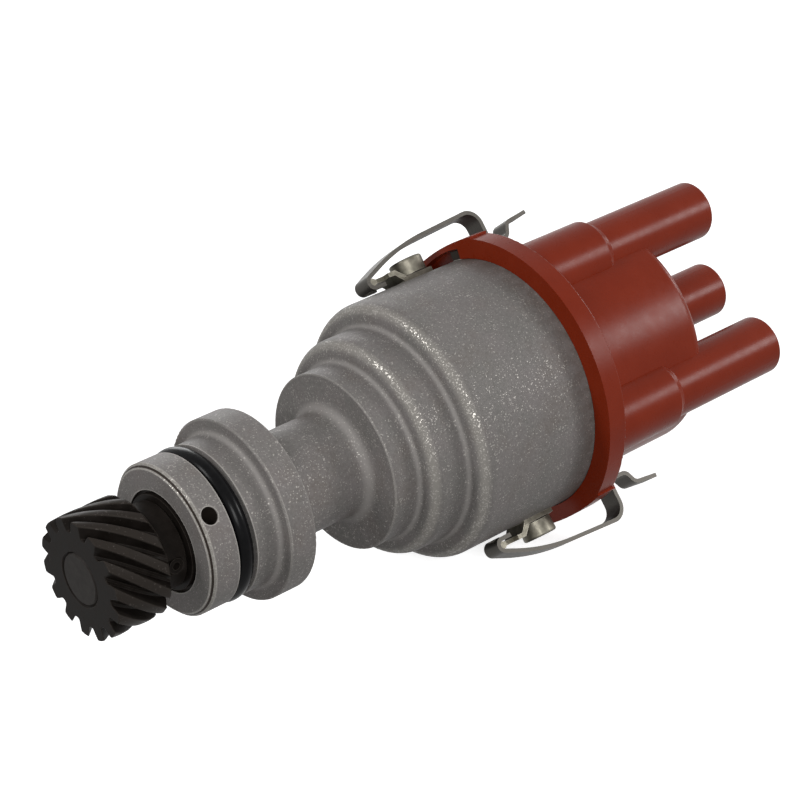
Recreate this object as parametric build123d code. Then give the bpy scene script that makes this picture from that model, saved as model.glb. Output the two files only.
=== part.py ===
from build123d import *
from math import asin, cos, degrees, pi, radians, sin
import os

# Ignition distributor for a four-cylinder engine, in millimetres.
# Frame: +X runs along the shaft from the drive gear to the cap, +Z is up, and the origin is
# on the shaft's axis at the seating face of the flange. Clock angles are degrees about the
# axis, measured from straight up towards the front (-Y). What stands at a clock angle is
# modelled at the top and turned about the X axis.

# ---------------------------------------------------------------- driving dimensions
# Locating collar, flange and neck of the housing
COLLAR_D = 39.0
COLLAR_LEN = 20.2
COLLAR_CHAMFER = 1.2
COLLAR_FILLET = 1.8
SEAL_LAND = 6.9            # from the flange face to the groove
SEAL_CORD_D = 4.8
SEAL_PROUD = 0.35          # how far the ring stands out of the collar
SEAL_ROOM = 0.5            # free width of the groove
FLANGE_STEP = 4.0          # how far the flange stands out of the collar
FLANGE_T = 7.7
NECK_D = 27.5
NECK_LEN = 24.9
NECK_FILLET = 3.5
OIL_HOLE_D = 4.4
OIL_HOLE_FROM_END = 3.6
OIL_HOLE_CLOCK = 48.0

# Bowl of the housing
TIER_1_D = 46.6
TIER_1_LEN = 8.0
TIER_2_D = 57.6
TIER_2_LEN = 11.2
TIER_2_SHOULDER = 3.6
BOWL_D = 69.0
BOWL_LEN = 41.2
BOWL_SHOULDER = 3.8
TIER_FILLET = 1.6
WALL = 3.0
FLOOR_T = 2.6              # behind the pocket of the advance and behind the wider bore
LEDGE_W = 2.4              # seat of the breaker plate
KEY_W = 3.4
KEY_LEN = 2.6
KEY_SETBACK = 0.6          # of the key, behind the rim's face
KEY_CLOCK = -31.0
INLET_D = 9.0              # hole for the low-tension lead's grommet
INLET_CLOCK = 231.0

# Shaft and drive gear
SHAFT_D = 13.2
SPINDLE_D = 8.4
GEAR_TEETH = 14
GEAR_TIP_D = 29.6
GEAR_TOOTH_H = 3.2
GEAR_LEN = 16.8
GEAR_HELIX = 41.0          # degrees at the tips, right hand
GEAR_HUB_D = 22.0
GEAR_HUB_LEN = 6.2
PIN_D = 4.0
PIN_CLOCK = 86.5
BUSH_WALL = 2.2
LOWER_BUSH_LEN = 17.0
UPPER_BUSH_LEN = 14.0
WASHER_D = 24.4
WASHER_T = 1.6
UPPER_WASHER_D = 19.0

# Centrifugal advance
ADVANCE_PLATE_D = 47.0
ADVANCE_PLATE_T = 1.8
WEIGHT_T = 4.4
WEIGHT_OUTER_D = 37.0
WEIGHT_INNER_D = 20.4
WEIGHT_EYE_D = 8.0
PIVOT_D = 4.0
PIVOT_FROM_AXIS = 15.5
DRIVE_PIN_D = 2.2
DRIVE_PIN_FROM_AXIS = 9.5
YOKE_T = 1.8
YOKE_LEN = 24.4
YOKE_W = 15.0
SPRING_D = 3.0
SPRING_WIRE_D = 0.7
SPRING_COILS = 12
SPRING_POST_D = 2.0

# Contact breaker
BREAKER_PLATE_T = 1.6
BREAKER_PLATE_HOLE_D = 19.0
WINDOW_FROM_AXIS = 19.5    # three curved windows in the plate
WINDOW_W = 5.0
WINDOW_ANGLE = 30.0
WINDOW_CLOCKS = (30.0, 150.0, 270.0)
CAM_FLATS = 14.4
CAM_PEAK_D = 16.6
CAM_LEN = 7.0
ARM_H = 6.0                # height of the breaker arm along the shaft
ARM_REACH = 30.0           # from its post to the contact
ARM_POST_D = 4.0
ARM_FROM_AXIS = 11.5
HEEL_W = 3.6
POINT_D = 4.4
POINT_GAP = 0.45
POINT_ROOM = 0.1           # between the points and the cam's lobes, sideways
CONDENSER_D = 9.6
CONDENSER_LEN = 19.0
CONDENSER_FROM_AXIS = 21.5
STRAP_W = 6.0
STRAP_T = 0.8

# Cam sleeve and rotor
SLEEVE_D = 14.0
SLEEVE_LEN = 31.7          # from the yoke to its mouth
ROTOR_HUB_D = 21.0
ROTOR_LEN = 26.0
ROTOR_ARM_W = 13.0
ROTOR_ARM_T = 5.0
ELECTRODE_T = 1.4
ELECTRODE_W = 7.0
SPARK_GAP = 0.7            # from the electrode's tip to the terminals

# Cap
RIM_D = 80.0
RIM_T = 5.9
CAP_OVERLAP = 3.5          # how far the rim reaches over the housing's mouth
RIM_NOTCH_D = 75.0
RIM_NOTCH_HALF_ANGLE = 14.6
RIM_NOTCH_CLOCK = -42.0
RIM_PAD_HALF_ANGLE = 24.0  # each side of a clip
RIM_PAD_CORNER_D = 81.2
RIM_PAD_FLAT = 38.8        # from the axis to the middle of the pad
DOME_D = 62.0
DOME_LEN = 41.2            # above the seat on the housing
DOME_ROUND = 3.0
DOME_WALL = 4.0
TOWER_CIRCLE_D = 57.5
TOWER_CLOCK = 3.0
TOWERS = 4
TOWER_BASE_D = 18.6
TOWER_BASE_LEN = 23.0      # above the rim
TOWER_TAPER_LEN = 2.2
TOWER_D = 15.9
TOWER_LEN = 63.4           # above the rim
CENTRE_TOWER_D = 15.1
CENTRE_TOWER_LEN = 35.3    # above the dome
TOWER_ROUND = 0.9
SOCKET_D = 9.0
SOCKET_LEN = 24.0
STEM_D = 6.4
TERMINAL_HEAD_D = 8.0
TERMINAL_HEAD_T = 2.0
BRUSH_D = 5.0
BRUSH_LEN = 12.0
BRUSH_BOSS_D = 12.0
BRUSH_GUIDE_LEN = 7.0      # of the boss, along the brush
BRUSH_SPRING_LEN = 12.0
BRUSH_WIRE_D = 0.6
BRUSH_COILS = 5

# Spring clips, brackets and screws
CLIP_CLOCKS = (-42.0, 138.0)
CLIP_W = 6.4
CLIP_T = 1.1
CLIP_SLOT_W = 4.0
HINGE_FROM_MOUTH = 27.3
HINGE_ABOVE_BOWL = 2.9
HINGE_PIN_D = 2.0
CLIP_BOW_H = 11.4          # top of the strip above the bowl
CLIP_FINGER_LEN = 3.2
CLIP_RISE = 21.5           # degrees, from the hinge to the bow
CLIP_BEND = 11.3           # from the hinge to the bow's bend
CLIP_BEND_R = 60.0
CLIP_HOOK_H = 2.6          # from the lug's top down to the strip's valley
CLIP_VALLEY_LEN = 6.0
CLIP_KICK_LEN = 1.8
CLIP_KICK_H = 3.6
CLIP_TAB_LEN = 9.0
CLIP_TAB_H = 4.4
LUG_LEN = 9.2              # cap lug under the hook, above the rim
LUG_H = 6.6                # above the dome
LUG_W = 12.0
BRACKET_T = 1.2
BRACKET_W = 8.6
BRACKET_RAMP = 2.0         # length of the slope from the foot up to the tongue
BRACKET_SHOULDER = 1.8     # full width beyond the slope
TONGUE_W = 3.5
SCREW_HEAD_D = 9.2
SCREW_HEAD_TAPER = 2.5     # degrees, narrower towards the seat
SCREW_HEAD_H = 4.2
SCREW_D = 4.0
SCREW_FROM_HINGE = 13.8

# Clearances
RUNNING = 0.03             # radial, shaft in bush and sleeve on spindle
SIDE = 0.2                 # between faces that turn past each other
EASY = 0.25                # radial, loose pivots and slots
CAP_FIT = 0.2              # radial, rim over housing
HOOK_GAP = 0.3

# ---------------------------------------------------------------- places along the shaft
x_collar_end = -COLLAR_LEN
x_bush_end = x_collar_end + WASHER_T - 0.4
x_hub_end = x_bush_end - WASHER_T - SIDE
x_gear_back = x_hub_end - GEAR_HUB_LEN
x_gear_face = x_gear_back - GEAR_LEN
x_tier_1 = FLANGE_T + NECK_LEN
x_tier_2 = x_tier_1 + TIER_1_LEN
x_tier_3 = x_tier_2 + TIER_2_LEN
x_mouth = x_tier_3 + BOWL_LEN
x_floor = x_tier_2 + FLOOR_T
x_step = x_tier_3 + FLOOR_T
x_plate = x_floor + WASHER_T + SIDE
x_weights = x_plate + ADVANCE_PLATE_T + SIDE
x_yoke = x_weights + WEIGHT_T + SIDE
x_yoke_top = x_yoke + YOKE_T
x_ledge = x_yoke_top + SPRING_D + 0.9
x_breaker = x_ledge + BREAKER_PLATE_T
x_cam = x_breaker + 1.4
x_sleeve_top = x_yoke + SLEEVE_LEN
x_spindle_top = x_sleeve_top - 5.0
x_ring = x_spindle_top - 1.9
x_rotor = x_sleeve_top - 9.0
x_rotor_top = x_rotor + ROTOR_LEN
x_electrode_top = x_rotor_top + ELECTRODE_T
x_rim = x_mouth - CAP_OVERLAP
x_rim_top = x_rim + RIM_T
x_dome_top = x_mouth + DOME_LEN
x_tower_top = x_rim_top + TOWER_LEN
x_centre_top = x_dome_top + CENTRE_TOWER_LEN
x_brush = x_electrode_top + SIDE
x_brush_top = x_brush + BRUSH_LEN
x_centre_head = x_centre_top - SOCKET_LEN - TERMINAL_HEAD_T
x_outer_head = x_tower_top - SOCKET_LEN - TERMINAL_HEAD_T
x_terminal_tip = x_rotor_top - 4.0
x_hinge = x_mouth - HINGE_FROM_MOUTH
x_screw = x_hinge + SCREW_FROM_HINGE
x_lug_top = x_rim_top + LUG_LEN
x_inlet = x_mouth - 18.0

# ---------------------------------------------------------------- radii that follow
bowl_r = BOWL_D / 2
bore_r = bowl_r - WALL
ledge_r = bore_r - LEDGE_W
pocket_r = TIER_2_D / 2 - WALL
shaft_r = SHAFT_D / 2
bush_r = shaft_r + BUSH_WALL
spindle_r = SPINDLE_D / 2
sleeve_r = SLEEVE_D / 2
groove_r = COLLAR_D / 2 + SEAL_PROUD - SEAL_CORD_D
dome_r = DOME_D / 2
cave_r = dome_r - DOME_WALL
hinge_r = bowl_r + HINGE_ABOVE_BOWL
seal_w = SEAL_CORD_D + SEAL_ROOM
tower_r = TOWER_CIRCLE_D / 2
electrode_r = tower_r - STEM_D / 2 - SPARK_GAP
heel_v = CAM_PEAK_D / 2 + 0.12


# ---------------------------------------------------------------- building blocks
def at_clock(angle, shape):
    """Turn what was modelled at the top to a clock angle about the shaft."""
    return Rot(X=angle) * shape


def rod(x_start, x_end, radius, y=0.0, z=0.0):
    """Round bar along the shaft's direction."""
    section = Plane.YZ.offset(x_start) * (Pos(y, z) * Circle(radius))
    return extrude(section, x_end - x_start)


def ring(x_start, x_end, outer, inner, y=0.0, z=0.0):
    """Washer or tube along the shaft's direction."""
    return rod(x_start, x_end, outer, y, z) - rod(x_start, x_end, inner, y, z)


def slab(x_start, x_end, sketch):
    """Flat piece across the shaft, from a sketch in the Y-Z plane."""
    return extrude(Plane.YZ.offset(x_start) * sketch, x_end - x_start)


def turned(points, radii=None):
    """Solid of revolution from (x, radius) points, with a fillet radius for each."""
    if radii is None:
        outline = Polyline(*points, close=True)
    else:
        outline = FilletPolyline(*points, radius=radii, close=True)
    return revolve(Plane.XZ * make_face(outline), Axis.X)


def post(x, z_start, z_end, radius, y=0.0):
    """Round bar that stands radially at the top of the part."""
    return Pos(x, y, z_start) * extrude(Circle(radius), z_end - z_start)


def sector(x_start, x_end, outer, inner, half_angle):
    """Piece of a ring, centred on the top."""
    sweep_arc = revolve(
        Rot(X=-half_angle)
        * (Plane.XZ * make_face(Polyline(
            (x_start, inner), (x_end, inner), (x_end, outer), (x_start, outer), close=True,
        ))),
        Axis.X,
        2 * half_angle,
    )
    return sweep_arc


def polar(radius, angle):
    """Point (y, z) of the cross plane; angle in degrees from +Y towards +Z."""
    return radius * cos(radians(angle)), radius * sin(radians(angle))


# ---------------------------------------------------------------- housing
def make_housing():
    collar_r = COLLAR_D / 2
    flange_r = collar_r + FLANGE_STEP
    neck_r = NECK_D / 2
    x_groove_end = -SEAL_LAND
    x_groove = x_groove_end - seal_w
    outline = [
        ((x_collar_end, 0), 0),
        ((x_collar_end, collar_r - COLLAR_CHAMFER), 0),
        ((x_collar_end + COLLAR_CHAMFER, collar_r), 0),
        ((x_groove, collar_r), 0),
        ((x_groove, groove_r), 0),
        ((x_groove_end, groove_r), 0),
        ((x_groove_end, collar_r), 0),
        ((0, collar_r), COLLAR_FILLET),
        ((0, flange_r), 0.4),
        ((FLANGE_T, flange_r), 0.4),
        ((FLANGE_T, neck_r), NECK_FILLET),
        ((x_tier_1, neck_r), NECK_FILLET),
        ((x_tier_1, TIER_1_D / 2), 0.3),
        ((x_tier_2 + 1, TIER_1_D / 2), 0),
        ((x_tier_2 + 1, 0), 0),
    ]
    body = turned([p for p, _ in outline], [r for _, r in outline])
    body += turned(
        [(x_tier_2, 0), (x_tier_2, TIER_2_D / 2), (x_tier_3 + 4, TIER_2_D / 2), (x_tier_3 + 4, 0)],
        [0, TIER_2_SHOULDER, 0, 0],
    )
    body += turned(
        [(x_tier_3, 0), (x_tier_3, bowl_r), (x_mouth, bowl_r), (x_mouth, 0)],
        [0, BOWL_SHOULDER, 0, 0],
    )
    for radius in (TIER_1_D / 2, TIER_2_D / 2):
        circles = body.edges().filter_by(GeomType.CIRCLE).filter_by(
            lambda edge: abs(edge.radius - radius) < 0.01 and edge.center().X > x_tier_2 - 0.5
        )
        body = fillet(circles.sort_by(Axis.X)[-1], TIER_FILLET)
    inside = turned([
        (x_floor, 0), (x_floor, pocket_r), (x_step, pocket_r), (x_step, ledge_r),
        (x_ledge, ledge_r), (x_ledge, bore_r), (x_mouth, bore_r), (x_mouth, 0),
    ])
    body -= inside
    body -= rod(x_collar_end, x_floor, shaft_r + 0.8)
    body -= rod(x_bush_end, x_bush_end + LOWER_BUSH_LEN, bush_r)
    body -= rod(x_collar_end, x_bush_end, WASHER_D / 2 + 0.9)
    body -= rod(x_floor - UPPER_BUSH_LEN, x_floor, bush_r)
    x_oil = x_collar_end + OIL_HOLE_FROM_END
    body -= at_clock(OIL_HOLE_CLOCK, post(x_oil, shaft_r, collar_r + 1, OIL_HOLE_D / 2))
    body -= at_clock(INLET_CLOCK, post(x_inlet, bore_r - 2, bowl_r + 1, INLET_D / 2))
    key_half = degrees(asin(KEY_W / 2 / bowl_r))
    x_key = x_rim + KEY_SETBACK
    key = sector(x_key, x_key + KEY_LEN, RIM_NOTCH_D / 2 - 2 * EASY, bowl_r - 1, key_half)
    body += at_clock(KEY_CLOCK, key)
    for clock in CLIP_CLOCKS:
        body -= at_clock(clock, post(x_screw, bore_r + 0.6, bowl_r + 1, SCREW_D / 2))
    for clock in PLATE_SCREW_CLOCKS:
        body -= at_clock(clock, rod(x_ledge - 4, x_ledge, 1.25, 0, PLATE_SCREW_R))
    return body


def make_collar_seal():
    cord_r = SEAL_CORD_D / 2
    x_centre = -SEAL_LAND - seal_w / 2
    section = Pos(x_centre, groove_r + cord_r) * Circle(cord_r)
    return revolve(Plane.XZ * section, Axis.X)


# ---------------------------------------------------------------- shaft, gear and bushes
def make_drive_shaft():
    x_shoulder = x_plate
    shaft = rod(x_gear_face, x_shoulder, shaft_r)
    shaft += rod(x_shoulder, x_spindle_top, spindle_r)
    shaft -= ring(x_ring, x_ring + 0.8, spindle_r + 1, spindle_r - 0.5)
    shaft -= at_clock(PIN_CLOCK, post(x_pin, -GEAR_HUB_D, GEAR_HUB_D, PIN_D / 2))
    return chamfer(shaft.edges().filter_by(GeomType.CIRCLE).sort_by(Axis.X)[0], 0.4)


def make_drive_gear():
    tip_r = GEAR_TIP_D / 2
    root_r = tip_r - GEAR_TOOTH_H
    pitch = 360 / GEAR_TEETH
    twist = degrees(GEAR_LEN * sin(radians(GEAR_HELIX)) / cos(radians(GEAR_HELIX)) / tip_r)
    crown = GEAR_TOOTH_H * 0.45
    tooth = [
        (root_r, -0.4), (tip_r - crown, -0.24), (tip_r, 0.0), (tip_r - crown, 0.24), (root_r, 0.4),
    ]
    edges = []
    for index in range(GEAR_TEETH):
        p = [polar(radius, (index + share) * pitch) for radius, share in tooth]
        root = polar(root_r - 0.25, (index + 0.5) * pitch)
        following = polar(root_r, (index + 1 - 0.4) * pitch)
        edges += [Line(p[0], p[1]), ThreePointArc(p[1], p[2], p[3]), Line(p[3], p[4])]
        edges += [ThreePointArc(p[4], root, following)]
    section = Plane.YZ.offset(x_gear_face) * make_face(edges)
    toothed = Solid.extrude_linear_with_rotation(
        section.face(), (x_gear_face, 0, 0), (GEAR_LEN, 0, 0), twist
    )
    gear = Part() + toothed
    hub_r = GEAR_HUB_D / 2
    gear += turned(
        [(x_gear_back - 2.0, 0), (x_gear_back - 2.0, hub_r), (x_hub_end, hub_r), (x_hub_end, 0)],
        [0, 0, 0.6, 0],
    )
    gear &= turned(
        [(x_gear_face, 0), (x_gear_face, tip_r + 0.1), (x_gear_back, tip_r + 0.1), (x_gear_back, hub_r),
         (x_hub_end, hub_r), (x_hub_end, 0)],
        [0, 0.9, GEAR_TOOTH_H, 0, 0, 0],
    )
    gear -= rod(x_gear_face, x_hub_end, shaft_r)
    gear -= at_clock(PIN_CLOCK, post(x_pin, -GEAR_HUB_D, GEAR_HUB_D, PIN_D / 2))
    return gear


def make_gear_pin():
    reach = GEAR_HUB_D / 2 + 0.1
    pin = post(x_pin, -reach, reach, PIN_D / 2)
    pin -= post(x_pin, -reach, reach, PIN_D / 4)
    return at_clock(PIN_CLOCK, pin)


def make_bush(x_start, length):
    return ring(x_start, x_start + length, bush_r, shaft_r + RUNNING)


def make_lower_bush():
    bush = make_bush(x_bush_end, LOWER_BUSH_LEN)
    x_oil = x_collar_end + OIL_HOLE_FROM_END
    return bush - at_clock(OIL_HOLE_CLOCK, post(x_oil, 0, COLLAR_D / 2, OIL_HOLE_D / 2))


# ---------------------------------------------------------------- centrifugal advance
def make_advance_plate():
    plate = rod(x_plate, x_plate + ADVANCE_PLATE_T, ADVANCE_PLATE_D / 2)
    plate -= rod(x_plate, x_plate + ADVANCE_PLATE_T, spindle_r)
    x_top = x_plate + ADVANCE_PLATE_T
    for side in (0, 180):
        y, z = polar(PIVOT_FROM_AXIS, side)
        plate += rod(x_top, x_yoke_top - 0.4, PIVOT_D / 2, y, z)
        y, z = polar(spring_post_r, side + spring_post_angle)
        plate += rod(x_top, x_spring + SPRING_D / 2, SPRING_POST_D / 2, y, z)
    for side in (90, 270):
        y, z = polar(ADVANCE_PLATE_D / 2 + 5.5, side)
        plate -= rod(x_plate, x_top, 9.0, y, z)
    return plate


def make_bob_weight(side):
    outer = Circle(WEIGHT_OUTER_D / 2) - Circle(WEIGHT_INNER_D / 2)
    wedge = make_face(Polyline((0, 0), polar(60, 10), polar(70, 75), polar(60, 144), close=True))
    crescent = fillet((outer & wedge).vertices(), 1.6)
    eye = Pos(PIVOT_FROM_AXIS, 0) * Circle(WEIGHT_EYE_D / 2)
    lever_len = PIVOT_FROM_AXIS - DRIVE_PIN_FROM_AXIS
    lever = Pos(PIVOT_FROM_AXIS - lever_len / 2, 0) * Rectangle(lever_len, 4.4)
    tip = Pos(DRIVE_PIN_FROM_AXIS, 0) * Circle(2.2)
    bridge = make_face(Polyline(
        polar(PIVOT_FROM_AXIS, 4), polar(WEIGHT_OUTER_D / 2 - 0.4, 10), polar(WEIGHT_OUTER_D / 2 - 0.2, 24),
        polar(WEIGHT_INNER_D / 2 + 1.2, 28), close=True,
    ))
    hole = Pos(PIVOT_FROM_AXIS, 0) * Circle(PIVOT_D / 2 + RUNNING)
    shape = crescent + bridge + eye + lever + tip - hole
    weight = slab(x_weights, x_weights + WEIGHT_T, shape)
    weight += rod(x_weights + WEIGHT_T, x_yoke_top, DRIVE_PIN_D / 2, DRIVE_PIN_FROM_AXIS)
    return Rot(X=side) * weight


def make_cam_sleeve():
    sleeve = rod(x_yoke, x_sleeve_top, sleeve_r)
    yoke = RectangleRounded(YOKE_LEN, YOKE_W, 3.0)
    slot_len = 2 * EASY + DRIVE_PIN_D + 1.2
    for direction in (-1, 1):
        slot = SlotOverall(slot_len, DRIVE_PIN_D + 2 * EASY)
        yoke -= Pos(direction * (DRIVE_PIN_FROM_AXIS + 0.3), 0) * slot
    sleeve += slab(x_yoke, x_yoke_top, yoke)
    for side in (0, 180):
        y, z = polar(yoke_post_r, side + yoke_post_angle)
        sleeve += rod(x_yoke_top, x_spring + SPRING_D / 2, SPRING_POST_D / 2, y, z)
    cam = Rectangle(CAM_FLATS, CAM_FLATS) & Circle(CAM_PEAK_D / 2)
    sleeve += slab(x_cam, x_cam + CAM_LEN, fillet(cam.vertices(), 1.2))
    sleeve -= rod(x_yoke, x_sleeve_top, spindle_r + RUNNING)
    sleeve -= rod(x_ring - SIDE, x_sleeve_top, spindle_r + 1.4)
    notch = Box(5.0, 3.0, 3.2, align=(Align.MAX, Align.CENTER, Align.MIN))
    sleeve -= at_clock(ROTOR_CLOCK, Pos(x_sleeve_top, 0, spindle_r + 1.0) * notch)
    return sleeve


def make_sleeve_ring():
    return ring(x_ring, x_ring + 0.8, spindle_r + 1.1, spindle_r - 0.5)


def make_felt_wick():
    return rod(x_spindle_top + SIDE, x_sleeve_top - 0.6, spindle_r + 1.3)


def make_advance_springs():
    """Two close-coiled tension springs, each coil a ring, with an eye at each end."""
    springs = []
    wire_r = SPRING_WIRE_D / 2
    for side in (0, 180):
        ya, za = polar(yoke_post_r, side + yoke_post_angle)
        yb, zb = polar(spring_post_r, side + spring_post_angle)
        start = Vector(x_spring, ya, za)
        end = Vector(x_spring, yb, zb)
        along = (end - start).normalized()
        coils_len = SPRING_COILS * SPRING_WIRE_D
        coil_r = SPRING_D / 2 - wire_r
        middle = (start + end) * 0.5
        frame = Plane(origin=middle - along * (coils_len / 2), x_dir=(1, 0, 0), z_dir=along)
        outline = [Line((coil_r - 0.1, 0), (coil_r, 0))]
        for turn in range(SPRING_COILS):
            z0 = turn * SPRING_WIRE_D
            outline.append(ThreePointArc(
                (coil_r, z0), (coil_r + wire_r, z0 + wire_r), (coil_r, z0 + SPRING_WIRE_D)
            ))
        outline.append(Polyline((coil_r, coils_len), (coil_r - 0.1, coils_len), (coil_r - 0.1, 0)))
        coil = revolve(Plane.XZ * make_face(outline), Axis.Z)
        spring = frame * coil
        for origin, direction in ((start, along), (end, along * -1)):
            eye_r = SPRING_POST_D / 2 + 0.05 + wire_r
            eye = Pos(*origin) * (Plane.YZ * Circle(eye_r + wire_r))
            eye -= Pos(*origin) * (Plane.YZ * Circle(eye_r - wire_r))
            spring += Pos(-wire_r, 0, 0) * extrude(eye, SPRING_WIRE_D)
            distance = (middle - origin).length - coils_len / 2
            leg_plane = Plane(origin=origin + direction * eye_r, x_dir=(1, 0, 0), z_dir=direction)
            leg = extrude(leg_plane * Circle(wire_r), distance - eye_r + 0.2)
            hook_plane = Plane(
                origin=origin + direction * (distance - wire_r), x_dir=(1, 0, 0), z_dir=direction
            )
            disc = extrude(hook_plane * Circle(coil_r), 2 * wire_r)
            spring += leg + disc
        springs.append(spring)
    return Compound(children=[s.solid() for s in springs])


# ---------------------------------------------------------------- contact breaker
def make_breaker_plate():
    plate = rod(x_ledge, x_breaker, bore_r - 0.15)
    plate -= rod(x_ledge, x_breaker, BREAKER_PLATE_HOLE_D / 2)
    for clock in PLATE_SCREW_CLOCKS:
        plate -= at_clock(clock, rod(x_ledge, x_breaker, 1.6, 0, PLATE_SCREW_R))
    for clock in WINDOW_CLOCKS:
        middle = CenterArc((0, 0), WINDOW_FROM_AXIS, clock + 90 - WINDOW_ANGLE / 2, WINDOW_ANGLE)
        window = SlotArc(middle, WINDOW_W)
        plate -= slab(x_ledge, x_breaker, window)
    plate -= rod(x_ledge, x_breaker, ARM_POST_D / 2, arm_post_y, ARM_FROM_AXIS)
    plate -= rod(x_ledge, x_breaker, 1.6, contact_screw_y, contact_screw_z)
    return plate


def make_plate_screws():
    screws = []
    for clock in PLATE_SCREW_CLOCKS:
        screw = rod(x_ledge - 3.6, x_breaker, 1.25, 0, PLATE_SCREW_R)
        head = rod(x_breaker, x_breaker + 2.0, 2.7, 0, PLATE_SCREW_R)
        head -= Pos(x_breaker + 2.0, 0, PLATE_SCREW_R) * Box(1.8, 6, 0.8)
        screws.append(at_clock(clock, screw + head).solid())
    return Compound(children=screws)


def make_arm_post():
    post_r = ARM_POST_D / 2
    stem = rod(x_ledge, x_arm + ARM_H + 1.6, post_r, arm_post_y, ARM_FROM_AXIS)
    shoulder = rod(x_breaker, x_arm - SIDE, post_r + 1.6, arm_post_y, ARM_FROM_AXIS)
    return stem + shoulder


def make_breaker_arm():
    """Sprung lever: an eye on the post, a channel arm, a heel over the cam and the point."""
    eye = Pos(arm_post_y, ARM_FROM_AXIS) * Circle(ARM_POST_D / 2 + 1.8)
    beam = Pos(arm_post_y + ARM_REACH / 2 - 1.2, ARM_FROM_AXIS + 0.3) * Rectangle(ARM_REACH + 2.4, 2.2)
    heel_h = ARM_FROM_AXIS - heel_v
    heel = make_face(Polyline(
        (-HEEL_W / 2 - 1.2, ARM_FROM_AXIS), (-HEEL_W / 2, heel_v), (HEEL_W / 2, heel_v),
        (HEEL_W / 2 + 1.2, ARM_FROM_AXIS), close=True,
    ))
    shape = eye + beam + heel
    shape = shape - Pos(arm_post_y, ARM_FROM_AXIS) * Circle(ARM_POST_D / 2 + RUNNING)
    arm = slab(x_arm, x_arm + ARM_H, shape)
    point_plane = Plane(origin=(x_point, point_y, ARM_FROM_AXIS), x_dir=(1, 0, 0), z_dir=(0, 0, -1))
    arm += extrude(point_plane * Circle(POINT_D / 2), heel_h - 0.4)
    return arm


def make_arm_spring():
    """Leaf spring beside the arm, from the anchor near the post to the arm's back."""
    z_back = ARM_FROM_AXIS + 1.4
    leaf = Box(ARM_H - 1.0, 16.0, 0.4, align=(Align.CENTER, Align.MIN, Align.MIN))
    return Pos(x_point, arm_post_y + 4.2, z_back) * leaf


def make_fixed_contact():
    """Foot on the plate, an upright lug and the fixed point."""
    point_z = ARM_FROM_AXIS - (ARM_FROM_AXIS - heel_v - 0.4) - POINT_GAP
    lug_t = 1.6
    lug_z = point_z - 1.0 - lug_t
    foot = Pos(point_y + 1.5, lug_z - 3.0) * Rectangle(9.0, 6.0 + 2 * lug_t)
    foot -= Pos(contact_screw_y, contact_screw_z) * Circle(1.6)
    contact = slab(x_breaker, x_breaker + 1.2, foot)
    lug = Pos(x_breaker, point_y, lug_z) * Box(
        x_point + POINT_D / 2 - x_breaker, 5.0, lug_t, align=(Align.MIN, Align.CENTER, Align.MIN)
    )
    point_plane = Plane(origin=(x_point, point_y, lug_z + lug_t), x_dir=(1, 0, 0), z_dir=(0, 0, 1))
    return contact + lug + extrude(point_plane * Circle(POINT_D / 2), 1.0)


def make_contact_screw():
    screw = rod(x_ledge, x_breaker + 1.2, 1.55, contact_screw_y, contact_screw_z)
    head = rod(x_breaker + 1.2, x_breaker + 3.0, 2.6, contact_screw_y, contact_screw_z)
    head -= Pos(x_breaker + 3.0, contact_screw_y, contact_screw_z) * Box(1.6, 6, 0.8)
    return screw + head


def make_condenser():
    """Small can lying on the plate, in a strap that is part of it."""
    x_can = x_breaker + CONDENSER_D / 2 + STRAP_T
    can_plane = Plane(
        origin=(x_can, -CONDENSER_LEN / 2, -CONDENSER_FROM_AXIS), x_dir=(1, 0, 0), z_dir=(0, 1, 0)
    )
    can = extrude(can_plane * Circle(CONDENSER_D / 2), CONDENSER_LEN)
    can = fillet(can.edges(), 0.8)
    strap = Pos(x_breaker, 0, -CONDENSER_FROM_AXIS) * Box(
        x_can - x_breaker, STRAP_W, CONDENSER_D + 2 * STRAP_T,
        align=(Align.MIN, Align.CENTER, Align.CENTER),
    )
    return can + strap


def make_lead_grommet():
    shank_r = INLET_D / 2
    grommet = post(x_inlet, bore_r - 1.4, bowl_r + 2.4, shank_r - 0.02)
    grommet += post(x_inlet, bowl_r + 0.2, bowl_r + 2.4, shank_r + 1.6)
    grommet = grommet - post(x_inlet, bore_r - 2, bowl_r + 3, 1.6)
    return at_clock(INLET_CLOCK, grommet)


# ---------------------------------------------------------------- rotor
def make_rotor_arm():
    hub_r = ROTOR_HUB_D / 2
    rotor = turned([
        (x_rotor, 0), (x_rotor, hub_r - 1.0), (x_rotor + 1.5, hub_r), (x_rotor_top - 5, hub_r),
        (x_rotor_top, hub_r - 2.5), (x_rotor_top, 0),
    ])
    arm_len = electrode_r - 3.0
    arm_shape = make_face(Polyline(
        (-ROTOR_ARM_W / 2, 0), (-ELECTRODE_W / 2 - 1, arm_len), (ELECTRODE_W / 2 + 1, arm_len),
        (ROTOR_ARM_W / 2, 0), close=True,
    ))
    arm_shape = fillet(arm_shape.vertices().sort_by(Axis.Y)[-2:], 1.5)
    rotor += slab(x_rotor_top - ROTOR_ARM_T, x_rotor_top, arm_shape)
    rib = Polyline((x_rotor + 8, hub_r - 1), (x_rotor_top - ROTOR_ARM_T, arm_len - 3),
                   (x_rotor_top - ROTOR_ARM_T, hub_r - 1), close=True)
    rotor += extrude(Plane.XZ * make_face(rib), 1.2, both=True)
    rotor -= rod(x_rotor, x_sleeve_top, sleeve_r)
    key = Box(5.0, 2.8, 2.5, align=(Align.MAX, Align.CENTER, Align.MIN))
    rotor += Pos(x_sleeve_top, 0, spindle_r + 1.5) * key
    return at_clock(ROTOR_CLOCK, rotor)


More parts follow.
